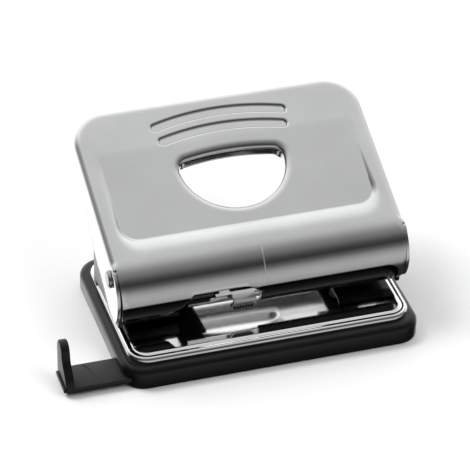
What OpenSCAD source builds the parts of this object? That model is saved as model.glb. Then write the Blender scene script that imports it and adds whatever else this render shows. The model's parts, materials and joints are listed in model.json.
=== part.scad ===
// Two-hole office paper punch: pressed steel handle and base on a black moulded tray.
// +X is the width, -Y the side the paper enters, +Z up. The origin is the centre of
// the tray's underside. All sizes are in millimetres, drawn with the handle up.

/* [Tray] */
// Width of the moulded tray
tray_w = 117; // [116:0.5:120]
// Depth of the moulded tray
tray_d = 76; // [76:0.5:80]
// Plan radius of the tray's corners
tray_corner_r = 9; // [7:0.5:11]
// Width of the rounding round the tray's top edge
tray_edge = 2.8; // [2:0.1:3]

/* [Base plate] */
// Width of the steel base plate
base_w = 111; // [110.5:0.5:111.5]
// Plan radius of the base plate's corners
base_corner_r = 8; // [6:0.5:9]
// Sheet thickness of the base plate
base_t = 1.2; // [1:0.1:1.3]

/* [Handle] */
// Width over the handle's two side flanges
handle_w = 115; // [115:0.5:116]
// Angle of the handle's top plate above level, handle up
tilt = 21.5; // [20:0.5:22]
// Sheet thickness of the handle
sheet_t = 1.2; // [1:0.1:1.3]
// Distance from the hinge axis to the plate's back edge
plate_back = 70.5; // [66:0.5:74]
// Plan radius of the plate's back corners
corner_r = 14; // [10:0.5:16]
// Outer radius of the bend round the plate's edge
bend_r = 3; // [2:0.25:3.5]
// Width of the hand hole
hole_w = 41.6; // [38:0.2:44]
// Slope of the recessed panel against the plate
panel_drop = 3.5; // [2:0.25:4]

/* [Punches] */
// Distance between the two hole centres
hole_spacing = 80; // [80:1:80]
// Diameter of the punched holes
hole_d = 5.5; // [5:0.1:6]

/* [Springs] */
// Turns of each punch spring
spring_turns = 5; // [4:1:6]
// Wire diameter of the springs
spring_wire = 0.8; // [0.6:0.1:0.9]

/* [Paper guide] */
// Distance the guide stands out of the tray, from the tray's side to the stop's face
guide_reach = 19; // [2:1:60]

/* [Hidden] */
$fn = 64;

// Tray
tray_h = 8.6;
tray_wall = 3;
floor_t = 1.8;
bin_front = -17;
bin_back = 32.8;
tunnel_front = -35.4;
tunnel_back = -20.6;
tunnel_bottom = 1.4;
tunnel_top = 4.5;

// Tray hinge at the back: one steel pin through each eye of the base plate
eye_x = 30;
eye_w = 10;
eye_y = 35.4;
eye_z = 8.2;
eye_r = 2;
eye_pin_r = 1;

// Base plate
base_front = -34.3;
base_back = 32.6;
base_d = base_back - base_front;
base_mid = (base_back + base_front) / 2;
base_rim = 8.7;
deck = 11.5;

// Punches, measured along their stroke
punch_y = 3;
punch_r = hole_d / 2;
punch_tip = 14.3;
punch_top = 36;
running_gap = 0.06;
clip_z = 26.2;
clip_t = 0.7;
washer_t = 0.5;

// Punch frame
frame_t = 1.5;
cheek_out = handle_w / 2 - sheet_t - 0.4;
cheek_in = cheek_out - frame_t;
lower_guide = 14;
upper_guide = 27.3;
guide_t = 1.2;
wall_y = 15;
station_in = 32;
catch_in = 18;

// Hinge of the handle
hinge_y = -12;
hinge_z = 34;
axle_r = 2.5;

// Handle, in its own frame: origin on the hinge axis, Y along the plate, Z square to it
plate_rise = 7.8;
roll_r = 15.4;
roll_y = 1.9;
roll_z = plate_rise - roll_r;
roll_turn = 109;
roll_half = handle_w / 2 - 2.3;
lip = 3;
half_w = handle_w / 2;
panel_front = 11.5;
panel_back = 50;
panel_half = 50;
panel_depth = (panel_back - panel_front) * tan(panel_drop);
hole_y = 40.3;
hole_corner_r = 4;
collar_h = 5.2;
groove_r = 97;

// Lock, in the handle's frame, as angles round the roll's centre
strip_in = 12.7;
strip_out = 13.9;
lock_angle = 182;
stud_x = [4, 22];
lock_travel = 12;
neck_angle = 174;
neck_x = -12.8;
neck_w = 8.6;

// ---- shared shapes ----

// A flat shape drawn in (Y, Z) and thickened along X from x0 to x1
module across(x0, x1) {
    translate([x0, 0, 0])
        rotate([90, 0, 90])
            linear_extrude(x1 - x0)
                children();
}

module rounded_rect(w, d, r) {
    square([w, d - 2 * r], center = true);
    square([w - 2 * r, d], center = true);
    for (x = [-1, 1], y = [-1, 1])
        translate([x * (w / 2 - r), y * (d / 2 - r)])
            circle(r);
}

// A thin rounded slab, used as one level of a rounded body
module slab(w, d, r, z, h = 0.1) {
    translate([0, 0, z])
        linear_extrude(h)
            rounded_rect(w, d, r);
}

// The part of a ring between two angles
module ring_sector(r_in, r_out, a0, a1) {
    reach = 2 * r_out;
    mid = (a0 + a1) / 2;
    intersection() {
        difference() {
            circle(r_out);
            circle(r_in);
        }
        polygon([[0, 0],
                 [reach * cos(a0), reach * sin(a0)],
                 [reach * cos(mid), reach * sin(mid)],
                 [reach * cos(a1), reach * sin(a1)]]);
    }
}

module both_sides() {
    children();
    mirror([1, 0, 0])
        children();
}

// Moves a piece drawn in the handle's own frame to its place with the handle up
module on_handle() {
    translate([0, hinge_y, hinge_z])
        rotate([tilt, 0, 0])
            children();
}

// ---- tray ----

module tray_body() {
    hull() {
        slab(tray_w - 1.2, tray_d - 1.2, tray_corner_r - 0.6, 0);
        slab(tray_w, tray_d, tray_corner_r, 0.6, tray_h - tray_edge - 0.6);
        slab(tray_w - 0.6 * tray_edge, tray_d - 0.6 * tray_edge, tray_corner_r - 0.3 * tray_edge,
             tray_h - 0.4 * tray_edge);
        slab(tray_w - 2 * tray_edge, tray_d - 2 * tray_edge, tray_corner_r - tray_edge, tray_h - 0.1);
    }
}

// The raised ears that carry the pins beside each eye
module hinge_ears() {
    for (x = [-1, 1], side = [-1, 1])
        translate([x * eye_x + side * (eye_w / 2 + 2.2), 0, 0])
            across(-1.8, 1.8) {
                translate([eye_y, eye_z])
                    circle(eye_r);
                translate([eye_y - eye_r, 4])
                    square([2 * eye_r, eye_z - 4]);
            }
}

module base_tray() {
    color([0.04, 0.04, 0.045])
        difference() {
            union() {
                tray_body();
                hinge_ears();
            }
            // Chip bin under the deck
            translate([-tray_w / 2 + tray_wall + 3, bin_front, floor_t])
                cube([tray_w - 2 * tray_wall - 6, bin_back - bin_front, tray_h]);
            // Hollow above the guide's tunnel
            translate([-tray_w / 2 + tray_wall + 5, tunnel_front + 1.4, tunnel_top + 1.2])
                cube([tray_w - 2 * tray_wall - 10, tunnel_back - tunnel_front, tray_h]);
            // Tunnel of the paper guide, open at the left side
            translate([-tray_w, tunnel_front, tunnel_bottom])
                cube([tray_w + 53, tunnel_back - tunnel_front, tunnel_top - tunnel_bottom]);
            // Pockets for the base plate's eyes
            for (x = [-eye_x, eye_x])
                translate([x - eye_w / 2 - 0.4, base_back - 0.4, eye_z - eye_r - 0.5])
                    cube([eye_w + 0.8, 10, 10]);
            // Bores of the hinge pins
            for (x = [-eye_x, eye_x])
                translate([x - eye_w / 2 - 5, eye_y, eye_z])
                    rotate([0, 90, 0])
                        cylinder(h = eye_w + 10, r = eye_pin_r + 0.02);
        }
}

module tray_hinge_pins() {
    color([0.7, 0.7, 0.7])
        for (x = [-eye_x, eye_x])
            translate([x - eye_w / 2 - 3.6, eye_y, eye_z])
                rotate([0, 90, 0])
                    cylinder(h = eye_w + 7.2, r = eye_pin_r);
}

// ---- paper guide ----

module paper_guide() {
    face = -tray_w / 2 - guide_reach;
    stop_t = 3.3;
    front = tunnel_front + 0.3;
    back = tunnel_back - 0.3;
    bottom = tunnel_bottom + 0.4;
    color([0.04, 0.04, 0.045]) {
        translate([face - 1, front, bottom])
            cube([111, back - front, 2.2]);
        // Upright stop with a rounded top
        across(face - stop_t, face) {
            polygon([[front, bottom], [back, bottom], [back, 15.2], [back - 3.6, 15.2],
                     [back - 7.4, 15.2], [front + 3.2, 9]]);
            translate([back - 3.8, 15.2])
                circle(3.8);
        }
        // Finger ledge at the foot of the stop
        translate([face - stop_t - 0.8, front + 1, bottom])
            cube([1, back - front - 2, 1.6]);
    }
}

// ---- base plate ----

module base_plate() {
    inset_w = base_w - 2 * base_t;
    inset_d = base_d - 2 * base_t;
    inset_r = base_corner_r - base_t;
    color([0.75, 0.75, 0.76])
        difference() {
            union() {
                difference() {
                    translate([0, base_mid, 0])
                        hull() {
                            slab(base_w, base_d, base_corner_r, base_rim, 0.8);
                            slab(base_w - 0.8, base_d - 0.8, base_corner_r - 0.4, deck - 1.1);
                            slab(base_w - 2.4, base_d - 2.4, base_corner_r - 1.2, deck - 0.4);
                            slab(base_w - 4.6, base_d - 4.6, base_corner_r - 2.3, deck - 0.1);
                        }
                    translate([0, base_mid, 0])
                        hull() {
                            slab(inset_w, inset_d, inset_r, base_rim - 1, 1.6);
                            slab(inset_w - 2, inset_d - 2, inset_r - 1, deck - base_t - 0.1);
                        }
                }
                // Tongues that curl into the hinge eyes
                for (x = [-eye_x, eye_x])
                    across(x - eye_w / 2, x + eye_w / 2) {
                        translate([base_back - 1, base_rim + 0.1])
                            square([eye_y - base_back + 1, 1.2]);
                        translate([eye_y, eye_z])
                            circle(eye_r);
                    }
            }
            for (x = [-eye_x, eye_x])
                translate([x - eye_w, eye_y, eye_z])
                    rotate([0, 90, 0])
                        cylinder(h = 2 * eye_w, r = eye_pin_r + running_gap);
            for (x = [-1, 1])
                translate([x * hole_spacing / 2, punch_y, deck - 5])
                    cylinder(h = 10, r = punch_r + 0.5);
            for (x = rivet_x())
                translate([x, rivet_y(), deck - 5])
                    cylinder(h = 10, r = rivet_r() + 0.02);
        }
}

// Hardened strip under the deck that the punches shear against
module die_strip() {
    color([0.55, 0.55, 0.56])
        difference() {
            translate([-hole_spacing / 2 - 8, punch_y - 6, deck - base_t - 1.5])
                cube([hole_spacing + 16, 12, 1.5]);
            for (x = [-1, 1])
                translate([x * hole_spacing / 2, punch_y, 0])
                    cylinder(h = deck, r = punch_r + 0.04);
        }
}

// ---- punch frame ----

function rivet_x() = [-42, -14, 14, 42];
function rivet_y() = wall_y + 5.6;
function rivet_r() = 1.6;

module cheek_outline() {
    difference() {
        union() {
            polygon([[-16.6, lower_guide], [wall_y, lower_guide], [wall_y, deck], [18.3, deck],
                     [18.3, 28], [hinge_y + 3.4, hinge_z + 3.7], [hinge_y - 4.7, hinge_z - 1.5],
                     [-17.6, 20]]);
            translate([hinge_y, hinge_z])
                circle(5);
        }
        translate([hinge_y, hinge_z])
            circle(axle_r + 0.02);
    }
}

module punch_frame() {
    color([0.06, 0.06, 0.065]) {
        both_sides()
            across(cheek_in, cheek_out)
                cheek_outline();
        difference() {
            union() {
                // Lower guide with its turned-up front lip, back wall, upper guide and foot
                across(-cheek_in, cheek_in) {
                    translate([-14, lower_guide])
                        square([wall_y + 14, guide_t]);
                    polygon([[-14, lower_guide], [-14, lower_guide + guide_t],
                             [-16.6, lower_guide + 2.6], [-16.6, lower_guide + 1.4]]);
                    translate([wall_y, deck])
                        square([frame_t, upper_guide - deck + guide_t]);
                    translate([-6, upper_guide])
                        square([wall_y + 6, guide_t]);
                    translate([wall_y, deck])
                        square([9, guide_t]);
                }
                // Catch for the lock's hook
                across(-30, -20) {
                    translate([-16, upper_guide])
                        square([11, guide_t]);
                    translate([-16, 25.2])
                        square([1, upper_guide + guide_t - 25.2]);
                    translate([-21, 25.2])
                        square([6, 0.9]);
                }
            }
            for (x = [-1, 1])
                translate([x * hole_spacing / 2, punch_y, lower_guide - 1])
                    cylinder(h = 20, r = punch_r + running_gap);
            for (x = rivet_x())
                translate([x, rivet_y(), deck - 1])
                    cylinder(h = 3, r = rivet_r() + 0.02);
            // Both guides are open between the two punches, the upper one up to the catch
            translate([-station_in, -20, lower_guide - 1])
                cube([2 * station_in, wall_y + 20, 5]);
            translate([-catch_in, -20, upper_guide - 1])
                cube([station_in + catch_in, wall_y + 20, 4]);
        }
    }
}

module frame_rivets() {
    color([0.7, 0.7, 0.7])
        for (x = rivet_x())
            translate([x, rivet_y(), 0]) {
                translate([0, 0, deck - base_t - 0.9])
                    cylinder(h = 0.9, r = 2.6);
                translate([0, 0, deck - base_t])
                    cylinder(h = base_t + guide_t, r = rivet_r());
                translate([0, 0, deck + guide_t])
                    cylinder(h = 1, r = 2.6);
            }
}

// ---- hinge of the handle ----

module hinge_axle() {
    head_x = half_w + 0.2;
    color([0.6, 0.6, 0.61])
        translate([0, hinge_y, hinge_z])
            rotate([0, 90, 0])
                difference() {
                    union() {
                        translate([0, 0, -head_x])
                            cylinder(h = 2 * head_x + 1.3, r = axle_r);
                        translate([0, 0, -head_x - 0.8])
                            cylinder(h = 0.8, r = 3.4);
                        translate([0, 0, -head_x - 1.2])
                            cylinder(h = 0.4, r = 2.8);
                    }
                    // Groove for the clip
                    translate([0, 0, head_x])
                        difference() {
                            cylinder(h = 0.7, r = axle_r + 1);
                            cylinder(h = 0.7, r = axle_r - 0.5);
                        }
                }
}

module axle_clip() {
    color([0.5, 0.5, 0.5])
        across(half_w + 0.25, half_w + 0.85)
            translate([hinge_y, hinge_z])
                difference() {
                    circle(4);
                    circle(axle_r - 0.45);
                    translate([-1.4, -5])
                        square([2.8, 5]);
                }
}

// ---- punches ----

module punch(side) {
    x = side * hole_spacing / 2;
    color([0.62, 0.62, 0.63])
        translate([x, punch_y, 0])
            difference() {
                union() {
                    translate([0, 0, punch_tip])
                        cylinder(h = punch_top - 0.6 - punch_tip, r = punch_r);
                    translate([0, 0, punch_top - 0.6])
                        cylinder(h = 0.6, r = punch_r - 0.6);
                }
                // Hollow-ground cutting end
                translate([0, 0, punch_tip - 0.6])
                    rotate([90, 0, 0])
                        cylinder(h = 4 * punch_r, r = 1.8, center = true);
                // Groove for the clip
                translate([0, 0, clip_z])
                    difference() {
                        cylinder(h = clip_t, r = punch_r + 1);
                        cylinder(h = clip_t, r = punch_r - 0.6);
                    }
            }
}

module washer(side) {
    color([0.7, 0.7, 0.7])
        translate([side * hole_spacing / 2, punch_y, clip_z - washer_t - 0.02])
            difference() {
                cylinder(h = washer_t, r = 5);
                translate([0, 0, -1])
                    cylinder(h = 3, r = punch_r + 0.1);
            }
}

module clip(side) {
    color([0.4, 0.4, 0.4])
        translate([side * hole_spacing / 2, punch_y, clip_z + 0.05])
            linear_extrude(clip_t - 0.1)
                difference() {
                    circle(4.6);
                    circle(punch_r - 0.55);
                    translate([-1.5, 0])
                        square([3, 6]);
                }
}

// Coil spring of round wire, swept as rings of points along the coil
module spring(side) {
    coil_r = 4.1;
    sides = 6;
    steps = 14 * spring_turns;
    bottom = lower_guide + guide_t + spring_wire / 2 + 0.02;
    top = clip_z - washer_t - spring_wire / 2 - 0.06;
    rings = [for (i = [0 : steps], k = [0 : sides - 1])
        let (a = 360 * spring_turns * i / steps, b = 360 * k / sides,
             r = coil_r + spring_wire / 2 * cos(b))
        [r * cos(a), r * sin(a), bottom + (top - bottom) * i / steps + spring_wire / 2 * sin(b)]];
    walls = [for (i = [0 : steps - 1], k = [0 : sides - 1])
        let (next = (k + 1) % sides)
        [i * sides + k, (i + 1) * sides + k, (i + 1) * sides + next, i * sides + next]];
    ends = [[for (k = [0 : sides - 1]) k], [for (k = [sides - 1 : -1 : 0]) steps * sides + k]];
    color([0.66, 0.66, 0.67])
        translate([side * hole_spacing / 2, punch_y, 0])
            polyhedron(rings, concat(walls, ends));
}

// ---- handle ----

// Plan of the plate, drawn inside its outer edge by an inset
module plate_outline(inset) {
    half = half_w - inset;
    back = plate_back - inset;
    r = corner_r - inset;
    translate([-half, roll_y])
        square([2 * half, back - r - roll_y]);
    translate([r - half, roll_y])
        square([2 * (half - r), back - roll_y]);
    for (side = [-1, 1])
        translate([side * (half - r), back - r])
            circle(r);
}

// Section of the bent-down edge: outwards along X, with its lip below
module rim_section(lip_h) {
    intersection() {
        difference() {
            circle(bend_r);
            circle(bend_r - sheet_t);
        }
        square(bend_r);
    }
    translate([bend_r - sheet_t, -lip_h])
        square([sheet_t, lip_h]);
}

module plate_rim() {
    side_end = plate_back - corner_r;
    rim_z = plate_rise - bend_r;
    both_sides() {
        translate([half_w - bend_r, side_end, rim_z])
            rotate([90, 0, 0])
                linear_extrude(side_end - roll_y)
                    rim_section(lip);
        translate([half_w - corner_r, side_end, rim_z])
            rotate_extrude(angle = 90)
                translate([corner_r - bend_r, 0])
                    rim_section(lip);
    }
    translate([0, plate_back - bend_r, rim_z])
        across(corner_r - half_w, half_w - corner_r)
            rim_section(lip);
}

module flange_outline() {
    rim_z = plate_rise - bend_r;
    polygon([[roll_y, rim_z], [plate_back - corner_r, rim_z], [plate_back - corner_r, rim_z - lip],
             [51, -0.5], [41.5, -4.2], [30.3, -7.5], [22.9, -11.3], [2.7, -15]]);
    intersection() {
        translate([roll_y, roll_z])
            circle(roll_r - 0.8);
        polygon([[2.7, -15], [roll_y + 1, rim_z], [-2, rim_z + 1.6], [-20, rim_z], [-20, -8],
                 [-12.9, -12], [-2.3, -16.7]]);
    }
}

// Plan of the hand hole: round towards the front, flat towards the back
module hand_hole(grow) {
    r = hole_w / 2 + grow;
    corner = hole_corner_r + grow;
    translate([0, hole_y]) {
        difference() {
            circle(r);
            translate([-2 * r, 0])
                square(4 * r);
        }
        translate([corner - r, 0])
            square([2 * (r - corner), corner]);
        for (side = [-1, 1])
            translate([side * (r - corner), 0])
                circle(corner);
    }
}

// Plan of a finger groove, a shallow arc with rounded ends
module groove_outline(crest, half_len, w) {
    a = asin(half_len / groove_r);
    translate([0, crest - groove_r]) {
        ring_sector(groove_r - w / 2, groove_r + w / 2, 90 - a, 90 + a);
        for (side = [-1, 1])
            rotate(side * a)
                translate([0, groove_r])
                    circle(w / 2 + 0.15);
    }
}

module finger_grooves(w, z, h) {
    translate([0, 0, z])
        linear_extrude(h) {
            groove_outline(62.3, 26.5, w);
            groove_outline(55.2, 25.2, w);
        }
}

// Places a piece on the recessed panel, which tips down from its back edge: Z = 0 is its top
module on_panel() {
    translate([0, panel_back, plate_rise])
        rotate([panel_drop, 0, 0])
            translate([0, -panel_back, 0])
                children();
}

module panel_sheet() {
    panel_len = (panel_back - panel_front) / cos(panel_drop);
    on_panel()
        translate([-panel_half, panel_back - panel_len, -sheet_t])
            cube([2 * panel_half, panel_len, sheet_t]);
    under = plate_rise - sheet_t;
    both_sides()
        across(panel_half, panel_half + sheet_t)
            polygon([[panel_back, under], [panel_front - sheet_t, under],
                     [panel_front - sheet_t, under - panel_depth], [panel_front, under - panel_depth]]);
    across(-panel_half - sheet_t, panel_half + sheet_t)
        translate([panel_front - sheet_t, under - panel_depth])
            square([sheet_t, panel_depth + 0.1]);
}

module handle_sheet() {
    difference() {
        translate([0, 0, plate_rise - sheet_t])
            linear_extrude(sheet_t)
                plate_outline(bend_r);
        translate([-panel_half, panel_front, 0])
            cube([2 * panel_half, panel_back - panel_front, 2 * plate_rise]);
    }
    panel_sheet();
    plate_rim();
    both_sides()
        across(half_w - sheet_t, half_w)
            flange_outline();
    // The roll, freed from the flanges by a slit at each end
    translate([0, roll_y, roll_z]) {
        across(-roll_half, roll_half)
            ring_sector(roll_r - sheet_t, roll_r, 90, 90 + roll_turn);
    }
    // Collar of the hand hole
    on_panel()
        translate([0, 0, -collar_h])
            linear_extrude(collar_h - 0.4)
                hand_hole(sheet_t);
    finger_grooves(5, plate_rise - sheet_t - 0.9, 1);
}

module handle() {
    color([0.72, 0.72, 0.73])
        on_handle()
            difference() {
                handle_sheet();
                on_panel()
                    translate([0, 0, -10])
                        linear_extrude(20)
                            hand_hole(0);
                finger_grooves(3.4, plate_rise - 0.9, 2);
                // Notch in the skirt that the lock's pad slides along
                rotate([90, 0, 0])
                    linear_extrude(30)
                        polygon([[-40, -16], [-28, -1.4], [-7, -1.4], [-1.5, -5], [-1.5, -16]]);
                // Bores of the hinge axle
                rotate([0, 90, 0])
                    cylinder(h = 2 * handle_w, r = axle_r + running_gap, center = true);
            }
}

// Bracket under the panel whose rounded nose bears on a punch
module presser(side) {
    x = side * hole_spacing / 2;
    color([0.06, 0.06, 0.065])
        on_handle()
            across(x - 8, x + 8) {
                translate([16, -0.4])
                    circle(3);
                translate([15, 0])
                    square([2, 3.8]);
                translate([panel_back, plate_rise - sheet_t - 0.04])
                    rotate(panel_drop)
                        translate([-38.2, -1.2])
                            square([9, 1.2]);
            }
}

// ---- lock ----

// Places a piece drawn radially outwards (+Y) at an angle round the roll
module round_roll(angle) {
    translate([0, roll_y, roll_z])
        rotate([angle, 0, 0])
            children();
}

module lock_studs() {
    color([0.6, 0.6, 0.6])
        on_handle()
            round_roll(lock_angle)
                for (x = stud_x)
                    translate([x, 0, 0])
                        rotate([-90, 0, 0]) {
                            translate([0, 0, strip_in - 0.4])
                                cylinder(h = roll_r - sheet_t - strip_in + 0.38, r = 1.2);
                            translate([0, 0, strip_in - 1.2])
                                cylinder(h = 0.8, r = 2.2);
                        }
}

module lock_pad() {
    pad_w = 9.8;
    pad_h = 5;
    round_roll(neck_angle + 13)
        translate([neck_x + neck_w / 2, 16, 0])
            rotate([-90, 0, 0]) {
                linear_extrude(1.2) {
                    square([pad_w - pad_h, pad_h], center = true);
                    for (side = [-1, 1])
                        translate([side * (pad_w - pad_h) / 2, 0])
                            circle(pad_h / 2);
                }
                for (i = [-3 : 3])
                    translate([i * 1.1 - 0.3, -1.7, 1.2])
                        cube([0.6, 3.4, 0.5]);
            }
}

module lock_slider() {
    color([0.55, 0.55, 0.56])
        on_handle() {
            difference() {
                translate([0, roll_y, roll_z]) {
                    across(-19, 38)
                        ring_sector(strip_in, strip_out, lock_angle - 10, lock_angle + 10);
                    across(-29.5, -19)
                        ring_sector(strip_in, strip_out, lock_angle, lock_angle + 10);
                }
                // Slots that run on the studs
                round_roll(lock_angle)
                    for (x = stud_x)
                        translate([x - 1.4, strip_in - 2, -1.4])
                            cube([lock_travel + 2.8, 4, 2.8]);
            }
            // Hook that catches on the frame
            round_roll(178)
                translate([-17, 10, -0.55])
                    cube([4, 3.2, 1.1]);
            // Neck through the notch, bent down to the pad
            round_roll(neck_angle)
                translate([neck_x, strip_out - 0.4, -0.6])
                    cube([neck_w, 3.3, 1.2]);
            translate([0, roll_y, roll_z])
                across(neck_x, neck_x + neck_w)
                    ring_sector(16, 17.2, neck_angle - 2, neck_angle + 10);
            lock_pad();
        }
}

base_tray();
tray_hinge_pins();
paper_guide();
base_plate();
die_strip();
punch_frame();
frame_rivets();
hinge_axle();
axle_clip();
spring(-1);  // spring_left
spring(1);  // spring_right
punch(-1);  // punch_left
punch(1);  // punch_right
washer(-1);  // washer_left
washer(1);  // washer_right
clip(-1);  // clip_left
clip(1);  // clip_right
handle();
presser(-1);  // presser_left
presser(1);  // presser_right
lock_studs();
lock_slider();
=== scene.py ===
"""Looks of the two-hole paper punch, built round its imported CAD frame.

The handle, the chromed base plate, the moulded tray, the paper guide, the springs and the
lock's grip are modelled again here with finer rounding. Every other piece is the CAD node
with a procedural material. Shapes are written in millimetres and made in metres.
"""

import json
import math

import bmesh
import bpy
from mathutils import Matrix, Vector
from mathutils.geometry import delaunay_2d_cdt
from mathutils.kdtree import KDTree


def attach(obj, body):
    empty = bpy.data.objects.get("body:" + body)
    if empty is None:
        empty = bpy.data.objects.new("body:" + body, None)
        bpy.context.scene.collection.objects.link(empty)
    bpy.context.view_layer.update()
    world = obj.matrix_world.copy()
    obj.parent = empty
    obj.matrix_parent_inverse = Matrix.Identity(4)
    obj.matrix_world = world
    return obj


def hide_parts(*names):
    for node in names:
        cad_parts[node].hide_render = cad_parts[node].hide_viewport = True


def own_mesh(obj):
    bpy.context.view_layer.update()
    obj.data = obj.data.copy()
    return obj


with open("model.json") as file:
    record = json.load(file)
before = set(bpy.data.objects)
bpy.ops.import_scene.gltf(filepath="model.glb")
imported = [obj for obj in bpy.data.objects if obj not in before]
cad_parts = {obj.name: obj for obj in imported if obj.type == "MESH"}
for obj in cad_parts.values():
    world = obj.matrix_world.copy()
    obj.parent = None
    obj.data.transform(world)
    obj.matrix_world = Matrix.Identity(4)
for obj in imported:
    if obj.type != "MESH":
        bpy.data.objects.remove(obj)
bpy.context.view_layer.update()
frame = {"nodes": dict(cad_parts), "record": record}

MM = 0.001

# ---- sizes, in millimetres and degrees ----

TRAY_W, TRAY_D, TRAY_R = 117, 76, 9
BASE_W, BASE_FRONT, BASE_BACK, BASE_R = 111, -34.3, 32.6, 8
BASE_RIM, DECK = 8.7, 11.5
HINGE_Y, HINGE_Z, TILT = -12, 34, math.radians(21.5)
HALF_W = 57.5
PLATE_RISE, PLATE_BACK, CORNER_R, BEND_R = 7.8, 70.5, 14, 3
SHEET = 1.2
ROLL_R, ROLL_U, ROLL_W = 15.4, 1.9, -7.6
ROLL_TURN, SLIT_START, SLIT_BEND = 109, 11, 1.2
BAND_START, BAND_RIGHT, BAND_CORNER = 70.5, 53.4, 5
MARK_TOP, MARK_LOW, MARK_HALF, MARK_RISE = 11, 70, 0.26, 0.07
PANEL_FRONT, PANEL_BACK, PANEL_HALF, PANEL_R, PANEL_DROP = 11.5, 50, 50, 7, 3.5
PUNCH_X, PUNCH_Y = 40, 3
EYE_X, EYE_Y, EYE_Z, EYE_R = 30, 35.4, 8.2, 2
MESH_STEP = 1.3


# ---- mesh helpers ----


def new_object(name, points, faces, smooth=True):
    """A mesh object from points in millimetres."""
    mesh = bpy.data.meshes.new(name)
    mesh.from_pydata([Vector(p) * MM for p in points], [], faces)
    obj = bpy.data.objects.new(name, mesh)
    bpy.context.scene.collection.objects.link(obj)
    if smooth:
        mesh.shade_smooth()
    return obj


def joined(name, *meshes):
    """One object from several (points, faces) pairs."""
    points, faces = [], []
    for more_points, more_faces in meshes:
        start = len(points)
        points += more_points
        faces += [[start + i for i in face] for face in more_faces]
    return new_object(name, points, faces)


def weld(obj, distance=0.004):
    """Merges the points that two neighbouring patches share, and turns every face outwards alike."""
    bm = bmesh.new()
    bm.from_mesh(obj.data)
    bmesh.ops.remove_doubles(bm, verts=bm.verts, dist=distance * MM)
    bmesh.ops.dissolve_degenerate(bm, edges=bm.edges, dist=0.0005 * MM)
    bmesh.ops.recalc_face_normals(bm, faces=bm.faces)
    bm.to_mesh(obj.data)
    bm.free()


def apply_modifiers(obj):
    """Makes the modifiers' result the object's own mesh."""
    graph = bpy.context.evaluated_depsgraph_get()
    mesh = bpy.data.meshes.new_from_object(obj.evaluated_get(graph))
    obj.modifiers.clear()
    obj.data = mesh


def crisp(obj, angle=38):
    """Smooth shading that stays sharp over edges steeper than the angle."""
    obj.data.shade_smooth()
    obj.data.set_sharp_from_angle(angle=math.radians(angle))


def rounded(obj, width, segments=3, angle=40):
    """Rounds the hard edges by a real bevel and keeps the flat faces flat."""
    bevel = obj.modifiers.new("bevel", "BEVEL")
    bevel.width = width * MM
    bevel.segments = segments
    bevel.limit_method = "ANGLE"
    bevel.angle_limit = math.radians(angle)
    apply_modifiers(obj)
    crisp(obj, 50)


def carve(obj, *cutters):
    """Cuts the cutters' solids out of the object and removes them."""
    for cutter in cutters:
        cut = obj.modifiers.new("cut", "BOOLEAN")
        cut.object = cutter
        cut.operation = "DIFFERENCE"
        cut.solver = "EXACT"
    apply_modifiers(obj)
    for cutter in cutters:
        bpy.data.objects.remove(cutter)


def box_mesh(low, high):
    """(points, faces) of a box."""
    points = [(x, y, z) for x in (low[0], high[0]) for y in (low[1], high[1]) for z in (low[2], high[2])]
    faces = [[0, 1, 3, 2], [4, 6, 7, 5], [0, 4, 5, 1], [2, 3, 7, 6], [0, 2, 6, 4], [1, 5, 7, 3]]
    return points, faces


def loft(rows, cap_first=True, cap_last=True):
    """(points, faces) through closed rows of equally many points."""
    count = len(rows[0])
    points = [p for row in rows for p in row]
    faces = []
    for r in range(len(rows) - 1):
        for i in range(count):
            j = (i + 1) % count
            faces.append([r * count + i, r * count + j, (r + 1) * count + j, (r + 1) * count + i])
    if cap_first:
        faces.append(list(range(count))[::-1])
    if cap_last:
        faces.append(list(range((len(rows) - 1) * count, len(rows) * count)))
    return points, faces


def strip(rows):
    """(points, faces) between open rows of equally many points."""
    count = len(rows[0])
    points = [p for row in rows for p in row]
    faces = [
        [r * count + i, r * count + i + 1, (r + 1) * count + i + 1, (r + 1) * count + i]
        for r in range(len(rows) - 1)
        for i in range(count - 1)
    ]
    return points, faces


def arc(cx, cy, radius, start, end, count):
    """Points on an arc, angles in degrees, both ends included."""
    angles = [math.radians(start + (end - start) * i / count) for i in range(count + 1)]
    return [(cx + radius * math.cos(a), cy + radius * math.sin(a)) for a in angles]


def even(start, end, step):
    """Evenly spaced numbers from start to end, both included, about a step apart."""
    count = max(1, round(abs(end - start) / step))
    return [start + (end - start) * i / count for i in range(count + 1)]


def rounded_rect(width, depth, radius, y_mid=0, per_corner=14):
    """A closed outline with round corners, as (x, y) points."""
    points = []
    x, y = width / 2 - radius, depth / 2 - radius
    for sx, sy, start in ((1, 1, 0), (-1, 1, 90), (-1, -1, 180), (1, -1, 270)):
        points += arc(sx * x, y_mid + sy * y, radius, start, start + 90, per_corner)
    return points


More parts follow.
